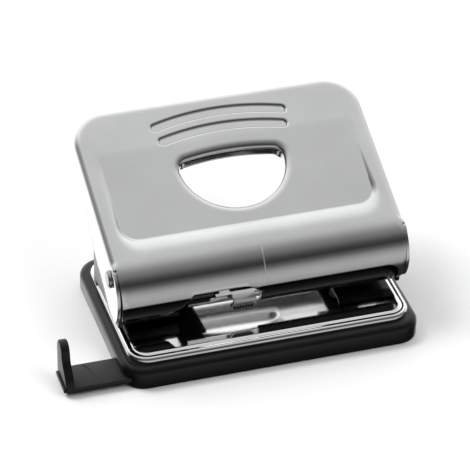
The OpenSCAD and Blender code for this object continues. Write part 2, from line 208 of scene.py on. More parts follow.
def fill(loops, lines, inside, step):
    """Triangles over a flat region, as (points, faces).

    loops are its closed edges and lines are open lines that the triangles keep to. The rest is a
    grid, left out close to those. inside(x, y) says which triangles belong to the region."""
    points, edges = [], []
    for path, closed in [(p, True) for p in loops] + [(p, False) for p in lines]:
        start = len(points)
        points += [Vector(p) for p in path]
        last = len(points) - 1
        edges += [(i, i + 1) for i in range(start, last)]
        if closed:
            edges.append((last, start))
    near = KDTree(len(points))
    for i, p in enumerate(points):
        near.insert((p.x, p.y, 0), i)
    near.balance()
    xs = [p.x for p in points]
    ys = [p.y for p in points]
    for row, y in enumerate(even(min(ys), max(ys), step * 0.87)):
        shift = step / 2 if row % 2 else 0
        for x in even(min(xs) + shift, max(xs) - shift, step):
            if near.find((x, y, 0))[2] > 0.6 * step and inside(x, y):
                points.append(Vector((x, y)))
    made, _, faces, _, _, _ = delaunay_2d_cdt(points, edges, [], 0, 1e-5)
    kept = []
    for face in faces:
        centre = sum((made[i] for i in face), Vector((0, 0))) / len(face)
        if inside(centre.x, centre.y):
            kept.append(list(face))
    return [(p.x, p.y) for p in made], kept


def inside_polygon(path):
    """A test for points inside a closed outline."""
    ends = list(zip(path, path[1:] + path[:1]))

    def test(x, y):
        crossed = False
        for (x0, y0), (x1, y1) in ends:
            if (y0 > y) != (y1 > y) and x < x0 + (y - y0) * (x1 - x0) / (y1 - y0):
                crossed = not crossed
        return crossed

    return test


# ---- materials ----


class Look:
    """A Principled material with helpers for its procedural inputs."""

    def __init__(self, name, metallic, ior=1.5, coat=0.0, coat_roughness=0.1, anisotropic=0.0):
        self.material = bpy.data.materials.new(name)
        self.material.use_nodes = True
        self.nodes = self.material.node_tree.nodes
        self.links = self.material.node_tree.links
        self.shader = self.nodes["Principled BSDF"]
        self.shader.inputs["Metallic"].default_value = metallic
        self.shader.inputs["IOR"].default_value = ior
        self.shader.inputs["Coat Weight"].default_value = coat
        self.shader.inputs["Coat Roughness"].default_value = coat_roughness
        self.shader.inputs["Anisotropic"].default_value = anisotropic
        self.place = self.nodes.new("ShaderNodeTexCoord").outputs["Object"]

    def put(self, node, socket, value):
        if isinstance(value, bpy.types.NodeSocket):
            self.links.new(value, node.inputs[socket])
        else:
            node.inputs[socket].default_value = value

    def noise(self, scale, detail=3, roughness=0.55, stretch=(1, 1, 1), warp=0.0):
        """Noise whose grains are about 1/scale metres, pulled out along some axes."""
        mapping = self.nodes.new("ShaderNodeMapping")
        mapping.inputs["Scale"].default_value = stretch
        self.links.new(self.place, mapping.inputs["Vector"])
        node = self.nodes.new("ShaderNodeTexNoise")
        self.links.new(mapping.outputs["Vector"], node.inputs["Vector"])
        node.inputs["Scale"].default_value = scale
        node.inputs["Detail"].default_value = detail
        node.inputs["Roughness"].default_value = roughness
        node.inputs["Distortion"].default_value = warp
        return node.outputs["Fac"]

    def specks(self, scale, size):
        """1 inside small round specks scattered over the surface, 0 elsewhere."""
        node = self.nodes.new("ShaderNodeTexVoronoi")
        self.links.new(self.place, node.inputs["Vector"])
        node.inputs["Scale"].default_value = scale
        return self.ramp(node.outputs["Distance"], size, size * 0.6)

    def ramp(self, value, start, end, low=0.0, high=1.0):
        """value from start to end, spread over low to high."""
        node = self.nodes.new("ShaderNodeMapRange")
        self.links.new(value, node.inputs["Value"])
        for socket, number in (("From Min", start), ("From Max", end), ("To Min", low), ("To Max", high)):
            node.inputs[socket].default_value = number
        return node.outputs["Result"]

    def math(self, operation, a, b):
        node = self.nodes.new("ShaderNodeMath")
        node.operation = operation
        self.put(node, 0, a)
        self.put(node, 1, b)
        return node.outputs["Value"]

    def mix(self, factor, a, b):
        """Colour a where factor is 0 and colour b where it is 1."""
        node = self.nodes.new("ShaderNodeMix")
        node.data_type = "RGBA"
        self.put(node, "Factor", factor)
        for name, value in (("A", a), ("B", b)):
            socket = next(s for s in node.inputs if s.name == name and s.type == "RGBA")
            if isinstance(value, bpy.types.NodeSocket):
                self.links.new(value, socket)
            else:
                socket.default_value = (*value, 1)
        return next(s for s in node.outputs if s.type == "RGBA")

    def worn(self, colour, bright, low=0.52, high=0.58):
        """colour, turning to bright where an edge stands out."""
        pointed = self.nodes.new("ShaderNodeNewGeometry").outputs["Pointiness"]
        return self.mix(self.ramp(pointed, low, high), colour, bright)

    def bump(self, height, depth, strength=1.0):
        node = self.nodes.new("ShaderNodeBump")
        node.inputs["Strength"].default_value = strength
        node.inputs["Distance"].default_value = depth * MM
        self.links.new(height, node.inputs["Height"])
        return node.outputs["Normal"]

    def finish(self, colour, roughness, normal):
        self.links.new(colour, self.shader.inputs["Base Color"])
        self.links.new(roughness, self.shader.inputs["Roughness"])
        self.links.new(normal, self.shader.inputs["Normal"])
        return self.material


def steel_look(name, grey, rough, grain=(1, 1, 1), grain_scale=900, bright=0.12, bump=0.004):
    """Plated or ground steel: cloudy tone, fine grain, scattered specks and rubbed edges."""
    look = Look(name, metallic=1.0)
    clouds = look.noise(35, detail=4)
    fine = look.noise(grain_scale, detail=2, stretch=grain)
    dark = tuple(c * 0.94 for c in grey)
    light = tuple(min(1, c * 1.03) for c in grey)
    tone = look.mix(look.ramp(clouds, 0.3, 0.7), dark, light)
    tone = look.mix(look.math("MULTIPLY", look.specks(260, 0.05), 0.5), tone, tuple(c * 0.45 for c in grey))
    tone = look.worn(tone, tuple(min(1, c + bright) for c in grey))
    mixed = look.math("ADD", look.math("MULTIPLY", clouds, 0.5), look.math("MULTIPLY", fine, 0.5))
    roughness = look.ramp(mixed, 0.25, 0.75, rough * 0.85, rough * 1.15)
    return look.finish(tone, roughness, look.bump(fine, bump))


def plastic_look(name, grey, rough, grain_scale, grain_depth):
    """Moulded plastic: even dark tone, fine grain, dust and pale rubbed edges."""
    look = Look(name, metallic=0.0, ior=1.38)
    clouds = look.noise(45, detail=4)
    fine = look.noise(grain_scale, detail=3, roughness=0.7)
    tone = look.mix(look.ramp(clouds, 0.3, 0.7), tuple(c * 0.8 for c in grey), tuple(c * 1.25 for c in grey))
    dust = look.math("MULTIPLY", look.specks(420, 0.06), 0.06)
    tone = look.mix(dust, tone, (0.25, 0.25, 0.24))
    tone = look.worn(tone, tuple(c * 2.2 for c in grey))
    mixed = look.math("ADD", look.math("MULTIPLY", clouds, 0.6), look.math("MULTIPLY", fine, 0.4))
    roughness = look.ramp(mixed, 0.25, 0.75, rough * 0.8, rough * 1.25)
    return look.finish(tone, roughness, look.bump(fine, grain_depth))


LOOKS = {
    "handle_steel": steel_look("satin_plate", (0.63, 0.635, 0.635), 0.15, grain_scale=1400, bump=0.002),
    # painted highlight: the raised centre mark is coloured far brighter than the satin plate so that it shows
    # as a bright line
    "painted_mark_highlight": steel_look("painted_mark_highlight", (0.92, 0.92, 0.92), 0.5, grain_scale=1400, bump=0.002),
    # painted dark reflection: the skirt's lower band is coloured near black, standing in for the dark
    # surroundings that the satin plate reflects there
    "painted_reflection_band": steel_look(
        "painted_reflection_band", (0.02, 0.02, 0.021), 0.16, grain_scale=1400, bright=0.02, bump=0.002
    ),
    "chrome_plate": steel_look("bright_chrome", (0.78, 0.785, 0.79), 0.07, grain_scale=500, bump=0.001),
    "frame_steel": steel_look("black_frame", (0.03, 0.03, 0.032), 0.3, grain=(1, 12, 12), bright=0.05),
    "axle_steel": steel_look("turned_axle", (0.42, 0.42, 0.43), 0.3, grain=(0.2, 1, 1), bump=0.008),
    "zinc_steel": steel_look("zinc_parts", (0.56, 0.57, 0.58), 0.33, bump=0.006),
    "spring_steel": steel_look("drawn_wire", (0.4, 0.4, 0.41), 0.26, bump=0.006),
    "tool_steel": steel_look("ground_punches", (0.5, 0.5, 0.51), 0.2, grain=(8, 8, 0.6), bump=0.005),
    "lock_steel": steel_look(
        "lock_strip", (0.42, 0.42, 0.43), 0.24, grain=(0.5, 6, 6), bright=0.4, bump=0.004
    ),
    "black_plastic": plastic_look("black_moulding", (0.005, 0.005, 0.0055), 0.3, 1600, 0.006),
    "guide_plastic": plastic_look("guide_moulding", (0.005, 0.005, 0.0055), 0.34, 2200, 0.005),
    "grip_plastic": plastic_look("grip_moulding", (0.012, 0.012, 0.013), 0.4, 2600, 0.008),
}

for entry in frame["record"]["subparts"]:
    node = frame["nodes"].get(entry["node"])
    if node is not None:
        for material_slot in node.material_slots:
            material_slot.material = LOOKS[entry["material_slot"]]


def place(obj, body, slot, look=None, replaces=()):
    """Gives a new piece its material, its body and the CAD nodes that it stands for."""
    obj.data.materials.clear()
    obj.data.materials.append(LOOKS[look or slot])
    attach(obj, body)
    if replaces:
        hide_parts(*replaces)


# ---- handle, drawn in its own frame: x across, u along the plate, w square to it ----


def from_handle(x, u, w):
    """A point of the handle's frame in the row frame, handle up."""
    return (
        x,
        HINGE_Y + u * math.cos(TILT) - w * math.sin(TILT),
        HINGE_Z + u * math.sin(TILT) + w * math.cos(TILT),
    )


HOLE_CENTRE_U = 40.3
HOLE_TOP_U = 44.3
HOLE_CORNER_X = 16.8
HOLE_CORNER_R = 4
ARC_R = 97
RIM_OUT, RIM_FALL, COLLAR = 3.6, 1.5, 6.0
GROOVE_CRESTS = ((62.3, 28.0), (55.2, 26.7))
GROOVE_EDGE, GROOVE_FLOOR, GROOVE_DEPTH = 2.55, 1.25, 0.88
SIDE_SHOULDER, FRONT_SHOULDER = 2.6, 7.5
# Lines that the mesh keeps to: distances from a groove's centre line, and shares of the shoulder
GROOVE_LINES = (2.7, 2.55, 2.3, 2.05, 1.8, 1.6, 1.4, 1.25, 1.1, 0.6)
PANEL_LINES = (1, 0.8, 0.6, 0.4, 0.25, 0.12, 0, -0.06)
# Looks of the handle: satin plate, the skirt's band painted near black as a painted dark reflection, and the
# centre mark coloured brighter as a painted highlight
HANDLE_LOOKS = ("handle_steel", "painted_reflection_band", "painted_mark_highlight")


def hole_outline(grow, count=22):
    """The hand hole's outline, grown outwards: four arcs that run into each other."""
    arc_u = HOLE_TOP_U - ARC_R
    corner_u = arc_u + math.sqrt((ARC_R - HOLE_CORNER_R) ** 2 - HOLE_CORNER_X**2)
    low_r = math.hypot(HOLE_CORNER_X, corner_u - HOLE_CENTRE_U) + HOLE_CORNER_R
    low = math.degrees(math.atan2(HOLE_CENTRE_U - corner_u, HOLE_CORNER_X))
    high = math.degrees(math.atan2(corner_u - arc_u, HOLE_CORNER_X))
    corner = HOLE_CORNER_R + grow
    points = arc(0, HOLE_CENTRE_U, low_r + grow, 180 + low, 360 - low, 3 * count)[:-1]
    points += arc(HOLE_CORNER_X, corner_u, corner, -low, high, count // 2)[:-1]
    points += arc(0, arc_u, ARC_R + grow, high, 180 - high, 2 * count)[:-1]
    points += arc(-HOLE_CORNER_X, corner_u, corner, 180 - high, 180 + low, count // 2)[:-1]
    return points


def panel_inside(x, u):
    """Distance inside the recessed panel's foot, negative outside it."""
    over_x = abs(x) - (PANEL_HALF - PANEL_R)
    over_u = PANEL_FRONT + PANEL_R - u
    if over_x > 0 and over_u > 0:
        return PANEL_R - math.hypot(over_x, over_u)
    return min(PANEL_HALF - abs(x), u - PANEL_FRONT)


def shoulder_width(x, u):
    """How far out the panel's rounded shoulder starts: further at the front than at the sides."""
    over_x = max(0, abs(x) - (PANEL_HALF - PANEL_R))
    over_u = max(0, PANEL_FRONT + PANEL_R - u)
    if over_x + over_u == 0:
        return SIDE_SHOULDER
    share = over_u / math.hypot(over_x, over_u)
    return SIDE_SHOULDER + (FRONT_SHOULDER - SIDE_SHOULDER) * share**2


def panel_line(share):
    """A line round the panel from its left back to its right back, at a share of the shoulder's width."""
    corner_x, corner_u = PANEL_HALF - PANEL_R, PANEL_FRONT + PANEL_R
    side, front = PANEL_R + SIDE_SHOULDER * share, PANEL_R + FRONT_SHOULDER * share
    line = [(-corner_x - side, u) for u in even(PANEL_BACK, corner_u, 1.2)][:-1]
    turns = [math.radians(a) for a in even(0, 90, 7)]
    corner = [(side + (front - side) * math.sin(a) ** 2, a) for a in turns]
    line += [(-corner_x - r * math.cos(a), corner_u - r * math.sin(a)) for r, a in corner][:-1]
    line += [(x, corner_u - front) for x in even(-corner_x, corner_x, 1.2)][:-1]
    line += [(corner_x + r * math.cos(a), corner_u - r * math.sin(a)) for r, a in reversed(corner)][:-1]
    line += [(corner_x + side, u) for u in even(corner_u, PANEL_BACK, 1.2)]
    return line


def panel_fall(u):
    return max(0, PANEL_BACK - u) * math.tan(math.radians(PANEL_DROP))


def groove_end(end_x):
    """Half angle of a groove's centre line round its arc's centre."""
    return math.degrees(math.asin((end_x - GROOVE_EDGE) / ARC_R))


def groove_distance(x, u, crest, end_x):
    """Distance from a groove's centre line."""
    centre_u = crest - ARC_R
    turn = math.degrees(math.atan2(x, u - centre_u))
    limit = groove_end(end_x)
    if abs(turn) <= limit:
        return abs(math.hypot(x, u - centre_u) - ARC_R)
    end = math.radians(limit)
    return math.hypot(abs(x) - ARC_R * math.sin(end), u - centre_u - ARC_R * math.cos(end))


def groove_loop(crest, end_x, away):
    """The closed line at a distance from a groove's centre line."""
    centre_u = crest - ARC_R
    limit = groove_end(end_x)
    end = math.radians(limit)
    ux, uy = ARC_R * math.sin(end), centre_u + ARC_R * math.cos(end)
    loop = arc(0, centre_u, ARC_R + away, 90 - limit, 90 + limit, 44)[:-1]
    loop += arc(-ux, uy, away, 90 + limit, 270 + limit, 12)[:-1]
    loop += arc(0, centre_u, ARC_R - away, 90 + limit, 90 - limit, 44)[:-1]
    loop += arc(ux, uy, away, -90 - limit, 90 - limit, 12)[:-1]
    return loop


def plate_height(x, u):
    """Height of the plate's face at a point of its plan."""
    climb = min(1, max(0, 1 + panel_inside(x, u) / shoulder_width(x, u)))
    height = PLATE_RISE - panel_fall(u) * climb**2
    for crest, end_x in GROOVE_CRESTS:
        away = groove_distance(x, u, crest, end_x)
        share = min(1, max(0, (GROOVE_EDGE - away) / (GROOVE_EDGE - GROOVE_FLOOR)))
        height -= GROOVE_DEPTH * share**2
    return height


def plate_path():
    """The plate's flat edge as (x, u, outward x, outward u), from the left front to the right front."""
    half, back, radius = HALF_W - BEND_R, PLATE_BACK - BEND_R, CORNER_R - BEND_R
    path = [(-half, u, -1, 0) for u in even(ROLL_U, back - radius, MESH_STEP)][:-1]
    for a in even(180, 90, 5)[:-1]:
        c, s = math.cos(math.radians(a)), math.sin(math.radians(a))
        path.append((radius - half + radius * c, back - radius + radius * s, c, s))
    path += [(x, back, 0, 1) for x in even(radius - half, half - radius, MESH_STEP)][:-1]
    for a in even(90, 0, 5)[:-1]:
        c, s = math.cos(math.radians(a)), math.sin(math.radians(a))
        path.append((half - radius + radius * c, back - radius + radius * s, c, s))
    path += [(half, u, 1, 0) for u in even(back - radius, ROLL_U, MESH_STEP)]
    return path


FLANGE_FRONT = (-11.9, -12.5)
FLANGE_LOW = (
    FLANGE_FRONT, (-2.3, -16.7), (2.7, -15), (22.9, -11.3),
    (30.3, -7.5), (41.5, -4.2), (51, -0.5), (56.5, 1.8),
)


def flange_low(u):
    """Height of the flange's lower edge."""
    for (u0, w0), (u1, w1) in zip(FLANGE_LOW, FLANGE_LOW[1:]):
        if u <= u1:
            return w0 + (w1 - w0) * (u - u0) / (u1 - u0)
    return FLANGE_LOW[-1][1]


def edge_rows(steps=8, down=6):
    """(turn of the bend, share of the way down the flange) for each row of the bent edge."""
    return [(90 * i / steps, 0) for i in range(steps + 1)] + [(90, i / down) for i in range(1, down + 1)]


def plate_edge():
    """The bend round the plate's edge with the flanges and the lip below it."""
    rows = []
    path = plate_path()
    for turn, share in edge_rows():
        s, c = math.sin(math.radians(turn)), math.cos(math.radians(turn))
        row = []
        for x, u, out_x, out_u in path:
            top = PLATE_RISE - BEND_R
            low = flange_low(u)
            w = PLATE_RISE - BEND_R * (1 - c) - share * (top - low)
            row.append((x + out_x * BEND_R * s, u + out_u * BEND_R * s, w))
        rows.append(row)
    return strip(rows)


def slit_bend(turn):
    """Radius of the edge bend on the roll, tightening towards the slit."""
    return BEND_R - (BEND_R - SLIT_BEND) * min(1, turn / SLIT_START)


def roll_point(x, turn, drop=0.0):
    """A point on the roll, turned down from the plate's front line."""
    a = math.radians(turn)
    radius = ROLL_R - drop
    return x, ROLL_U - radius * math.sin(a), ROLL_W + radius * math.cos(a)


def flange_fronts(side):
    """The flange ahead of the plate: bent over from the roll down to the slit, then free along it."""
    end = math.degrees(math.atan2(ROLL_U - FLANGE_FRONT[0], FLANGE_FRONT[1] - ROLL_W))
    gap = 0.8

    def low_point(turn):
        u = ROLL_U + (FLANGE_FRONT[0] - ROLL_U) * turn / end
        return u, flange_low(u)

    bent = []
    for turn in even(0, SLIT_START, 1.4):
        radius = slit_bend(turn)
        low_u, low_w = low_point(turn)
        column = []
        for bend, share in edge_rows():
            s, c = math.sin(math.radians(bend)), math.cos(math.radians(bend))
            _, u, w = roll_point(0, turn, radius * (1 - c))
            x = HALF_W - radius * (1 - s)
            column.append((side * x, u + (low_u - u) * share, w + (low_w - w) * share))
        bent.append(column)
    free = []
    for turn in even(SLIT_START, end, 3):
        _, u, w = roll_point(0, turn, gap if turn > SLIT_START else slit_bend(turn))
        low_u, low_w = low_point(turn)
        free.append([(side * HALF_W, u + (low_u - u) * i / 6, w + (low_w - w) * i / 6) for i in range(7)])
    return strip(bent), strip(free)


def roll_half(turn):
    """Half the roll's width: the plate's flat edge, then the free edge beside the slit."""
    if turn <= SLIT_START:
        return HALF_W - slit_bend(turn)
    return HALF_W - SLIT_BEND - 1.1 * (turn - SLIT_START) / (ROLL_TURN - SLIT_START)


def roll_sheet():
    """The roll with its free ends, its notch and the centre mark, laid out flat and then rolled."""
    per_degree = math.radians(1) * ROLL_R
    end = ROLL_TURN * per_degree
    corner = 3
    step_x, step_w = -1.5, -5
    notch_right, notch_left, notch_top = -7, -28, -1.4
    slope, notch_foot = 12 / 14.6, -37.2

    def along(w):
        """Distance down the laid-out roll to its line at height w."""
        return math.degrees(math.acos((w - ROLL_W) / ROLL_R)) * per_degree

    turns = even(0, SLIT_START, 1.4)[:-1] + even(SLIT_START, ROLL_TURN - corner / per_degree, 5)
    right = [(roll_half(t), t * per_degree) for t in turns]
    low_half = roll_half(turns[-1])
    right += arc(low_half - corner, end - corner, corner, 0, 90, 6)[1:]
    notch = [(step_x, end), (step_x, along(step_w))]
    notch += [(notch_right, along(notch_top)), (notch_left, along(notch_top))]
    slant = even(notch_top, -12, 1.5)[1:]
    notch += [(notch_left - slope * (notch_top - w), along(w)) for w in slant]
    notch.append((notch_foot, end))
    left = [(-x, s) for x, s in reversed(right)]
    top = [(x, 0) for x in even(-roll_half(0), roll_half(0), MESH_STEP)][1:-1]
    outline = right + notch + left + top
    mark = even(MARK_TOP * per_degree, MARK_LOW * per_degree, 0.8)
    lines = [[(x * MARK_HALF, s) for s in mark] for x in (-1, -0.5, 0, 0.5, 1)]
    # The edge of the band painted near black on the skirt as a painted dark reflection, right of the notch
    # with its round corner and then left of the notch
    band = BAND_START * per_degree
    band_right = [(x, band) for x in even(-1.2, BAND_RIGHT - BAND_CORNER, 1.2)]
    band_right += arc(BAND_RIGHT - BAND_CORNER, band + BAND_CORNER, BAND_CORNER, -90, 0, 8)[1:]
    band_right += [(BAND_RIGHT, s) for s in even(band + BAND_CORNER, end - 1, 1.2)[1:]]
    lines += [band_right, [(x, band) for x in even(-55.4, -29.6, 1.2)]]
    flat, faces = fill([outline], lines, inside_polygon(outline), MESH_STEP)
    points = []
    for x, s in flat:
        turn = s / per_degree
        on_mark = MARK_TOP < turn < MARK_LOW
        ridge = MARK_RISE * max(0, 1 - abs(x) / MARK_HALF) if on_mark else 0
        points.append(roll_point(x, turn, -ridge))
    return points, faces


def handle_look(x, u, w):
    """The look of the handle's face at a point: the lower band of the skirt, coloured near black as a painted
    dark reflection, which stops short of its right end, the raised centre mark, coloured brighter as a
    painted highlight, or satin plate."""
    turn = math.degrees(math.atan2(ROLL_U - u, w - ROLL_W))
    if abs(math.hypot(u - ROLL_U, w - ROLL_W) - ROLL_R) > 0.3:
        return "handle_steel"
    if abs(x) < MARK_HALF and MARK_TOP < turn < MARK_LOW:
        return "painted_mark_highlight"
    s = (turn - BAND_START) * math.radians(1) * ROLL_R
    if s < 0 or x > BAND_RIGHT:
        return "handle_steel"
    over_x, over_s = x - (BAND_RIGHT - BAND_CORNER), BAND_CORNER - s
    if over_x < 0 or over_s < 0 or math.hypot(over_x, over_s) < BAND_CORNER:
        return "painted_reflection_band"
    return "handle_steel"


def plate_sheet():
    """The plate's face with its recessed panel and finger grooves, open where the hand hole rolls in."""
    path = [(x, u) for x, u, _, _ in plate_path()]
    front = [(x, ROLL_U) for x in even(HALF_W - BEND_R, BEND_R - HALF_W, MESH_STEP)][1:-1]
    edge = path + front
    rim = hole_outline(RIM_OUT)
    in_edge, in_rim = inside_polygon(edge), inside_polygon(rim)
    loops = [edge, rim]
    for crest, end_x in GROOVE_CRESTS:
        loops += [groove_loop(crest, end_x, away) for away in GROOVE_LINES]
    lines = [panel_line(share) for share in PANEL_LINES]
    flat, faces = fill(loops, lines, lambda x, u: in_edge(x, u) and not in_rim(x, u), MESH_STEP)
    return [(x, u, plate_height(x, u)) for x, u in flat], faces


def hole_collar():
    """The edge of the hand hole, rolled over into its collar."""
    rows = []
    profile = [(RIM_OUT * (1 - i / 8), RIM_FALL * (i / 8) ** 2.4) for i in range(8)]
    profile += [(0.22, RIM_FALL + 0.15), (0.06, RIM_FALL + 0.4)]
    profile += [(0, drop) for drop in even(RIM_FALL + 0.75, COLLAR, 0.9)]
    for grow, drop in profile:
        row = [(x, u, plate_height(x, u) - drop) for x, u in hole_outline(grow)]
        rows.append(row)
    return loft(rows, cap_first=False, cap_last=False)


def make_handle():
    patches = [plate_sheet(), hole_collar(), plate_edge(), roll_sheet()]
    patches += flange_fronts(-1) + flange_fronts(1)
    handle = joined("handle_skin", *patches)
    for look in HANDLE_LOOKS:
        handle.data.materials.append(LOOKS[look])
    for face in handle.data.polygons:
        face.material_index = HANDLE_LOOKS.index(handle_look(*(face.center / MM)))
    for vertex in handle.data.vertices:
        vertex.co = Vector(from_handle(*(vertex.co / MM))) * MM
    weld(handle)
    up = max(handle.data.polygons, key=lambda face: face.center.z).normal
    if up.z < 0:
        handle.data.flip_normals()
    thick = handle.modifiers.new("thickness", "SOLIDIFY")
    thick.thickness = SHEET * MM
    thick.offset = -1
    # The sheet's cut edges take the first look, whatever look is beside them
    thick.material_offset_rim = 1 - len(HANDLE_LOOKS)
    apply_modifiers(handle)
    crisp(handle)
    rounded(handle, 0.16, segments=2, angle=60)
    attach(handle, "lever")
    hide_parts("handle")


make_handle()


# ---- chromed base plate ----


def make_base():
    mid, depth = (BASE_FRONT + BASE_BACK) / 2, BASE_BACK - BASE_FRONT
    hole_r, tongue_half = 3.25, 5
    # Inset and height, up over the rolled rim, through its gutter and on to the deck
    profile = [(0, BASE_RIM), (0, BASE_RIM + 0.5), (0, 9.7), (0.12, 10.2), (0.4, 10.66)]
    profile += [(0.8, 10.98), (1.25, 11.1), (1.65, 11.06), (2.0, 10.98), (2.3, 10.98)]
    profile += [(2.6, 11.12), (2.95, 11.34), (3.35, 11.46), (3.9, DECK)]
    rows = []
    for inset, z in profile:
        outline = rounded_rect(BASE_W - 2 * inset, depth - 2 * inset, max(1, BASE_R - inset), mid)
        rows.append([(x, y, z) for x, y in outline])
    points, faces = loft(rows, cap_first=False)
    base = new_object("base_skin", points, faces)
    thick = base.modifiers.new("thickness", "SOLIDIFY")
    thick.thickness = SHEET * MM
    thick.offset = -1
    apply_modifiers(base)
    holes = []
    for x in (-PUNCH_X, PUNCH_X):
        rim = arc(x, PUNCH_Y, hole_r, 0, 360, 48)[:-1]
        points, faces = loft([[(px, py, z) for px, py in rim] for z in (DECK - 4, DECK + 4)])
        holes.append(new_object("hole_cutter", points, faces))
    carve(base, *holes)
    for side in (-1, 1):
        curl = [(BASE_BACK - 1, 10), (BASE_BACK - 1, 8.8), (EYE_Y - 1.9, 8.8)]
        curl += arc(EYE_Y, EYE_Z, EYE_R, 190, 450, 20) + [(EYE_Y - 0.6, 10)]
        ends = (side * EYE_X - tongue_half, side * EYE_X + tongue_half)
        rows = [[(x, y, z) for y, z in curl] for x in ends]
        tongue = new_object("tongue_left" if side < 0 else "tongue_right", *loft(rows))
        weld(tongue)
        rounded(tongue, 0.2)
        place(tongue, "chassis", "chrome_plate")
    crisp(base, 45)
    place(base, "chassis", "chrome_plate", replaces=["base_plate"])


make_base()


# ---- moulded tray ----


def make_tray():
    side_h, shoulder_w, shoulder_h = 5.6, 2.8, 3
    gap_half, ear_half, ear_out = 5.4, 1.8, 7.2
    above = 20
    profile = [(1.0, 0), (0.5, 0.08), (0.15, 0.3), (0, 0.7), (0, side_h)]
    for turn in even(10, 90, 10):
        s, c = math.sin(math.radians(turn)), math.cos(math.radians(turn))
        profile.append((shoulder_w * (1 - c), side_h + shoulder_h * s))
    rows = []
    for inset, z in profile:
        outline = rounded_rect(TRAY_W - 2 * inset, TRAY_D - 2 * inset, TRAY_R - inset)
        rows.append([(x, y, z) for x, y in outline])
    tray = new_object("tray_skin", *loft(rows))
    weld(tray)
    half = TRAY_W / 2
    chip_bin = box_mesh((-half + 6, -17, 1.8), (half - 6, 32.8, above))
    front_pocket = box_mesh((-half + 8, -34, 5.7), (half - 8, -19.2, above))
    guide_channel = box_mesh((-TRAY_W, -35.4, 1.4), (53, -20.6, 4.5))
    cutters = [chip_bin, front_pocket, guide_channel]
    for x in (-EYE_X, EYE_X):
        cutters.append(box_mesh((x - gap_half, 32.2, 5.7), (x + gap_half, 50, above)))
    carve(tray, *[new_object("tray_cutter", *mesh, smooth=False) for mesh in cutters])
    crisp(tray, 40)
    place(tray, "tray", "black_plastic", replaces=["base_tray"])
    ear_places = [side * EYE_X + out for side in (-1, 1) for out in (-ear_out, ear_out)]
    for number, x in enumerate(ear_places, 1):
        ear = arc(EYE_Y, EYE_Z, EYE_R, 0, 180, 16) + [(EYE_Y - EYE_R, 4), (EYE_Y + EYE_R, 4)]
        rows = [[(px, y, z) for y, z in ear] for px in (x - ear_half, x + ear_half)]
        lug = new_object(f"hinge_ear_{number}", *loft(rows))
        weld(lug)
        rounded(lug, 0.3)
        place(lug, "tray", "black_plastic")


make_tray()


# ---- paper guide ----


def make_guide():
    face, stop = -77.5, 3.3
    front, back, bottom = -35.1, -20.9, 1.8
    bar_reach, bar_t, ledge_t = 110, 2.2, 1.6
    knob_y, knob_z, knob_r = back - 3.8, 15.2, 3.8
    mark_r, mark_w, mark_turn, mark_rise = 9.2, 0.6, 42, 0.12
    outline = [(front, bottom), (back, bottom)] + arc(knob_y, knob_z, knob_r, 0, 172, 18)
    outline += [(knob_y - 4.3, 13.2), (knob_y - 5.4, 11.2)]
    outline += [(front + 2.9, 9), (front + 1.4, 7), (front + 0.4, 4.9)]
    rows = [[(x, y, z) for y, z in outline] for x in (face - stop, face)]
    upright = new_object("guide_stop", *loft(rows))
    weld(upright)
    rounded(upright, 0.7, segments=4, angle=50)
    place(upright, "guide", "guide_plastic")

    bar = box_mesh((face - 1, front, bottom), (face + bar_reach, back, bottom + bar_t))
    bar = new_object("guide_bar", *bar)
    rounded(bar, 0.35)
    place(bar, "guide", "guide_plastic", replaces=["paper_guide"])

    outer = face - stop
    ledge = box_mesh((outer - 0.8, front + 1, bottom), (outer + 0.4, back - 1, bottom + ledge_t))
    ledge = new_object("guide_ledge", *ledge)
    rounded(ledge, 0.25)
    place(ledge, "guide", "guide_plastic")

    middle = (front + back) / 2
    outline = arc(face - 1, middle, mark_r, -mark_turn, mark_turn, 24)
    outline += arc(face - 1, middle, mark_r + mark_w, mark_turn, -mark_turn, 24)
    mark_top = bottom + bar_t + mark_rise
    rows = [[(x, y, z) for x, y in outline] for z in (bottom + bar_t - 0.1, mark_top)]
    mark = new_object("guide_mark", *loft(rows))
    weld(mark)
    crisp(mark)
    place(mark, "guide", "guide_plastic")


make_guide()


# ---- springs ----


def make_spring(side, name):
    """A compression spring with closed ends."""
    coil_r, wire_r, turns = 4.1, 0.4, 6
    seat, bottom, top, stroke = 15.2, 15.64, 25.22, 6.2
    steps, sides = 40 * turns, 10
    closed, end_rise = 0.75, 0.8
    rows = []
    for i in range(steps + 1):
        turn = turns * i / steps
        climb = min(1, max(0, (turn - closed) / (turns - 2 * closed)))
        end = min(1, turn / closed) * 0.5 + max(0, (turn - turns + closed) / closed) * 0.5
        rise = end_rise * end + (top - bottom - end_rise) * climb
        a = 2 * math.pi * turn
        row = []
        for k in range(sides):
            b = 2 * math.pi * k / sides
            r = coil_r + wire_r * math.cos(b)
            z = bottom + rise + wire_r * math.sin(b)
            row.append((side * PUNCH_X + r * math.cos(a), PUNCH_Y + r * math.sin(a), z))
        rows.append(row)
    spring = new_object(f"{name}_coil", *loft(rows))
    weld(spring)
    place(spring, "chassis", "spring_steel", replaces=[f"spring_{name}"])
    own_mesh(spring)


make_spring(-1, "left")
make_spring(1, "right")


# ---- grip of the lock ----


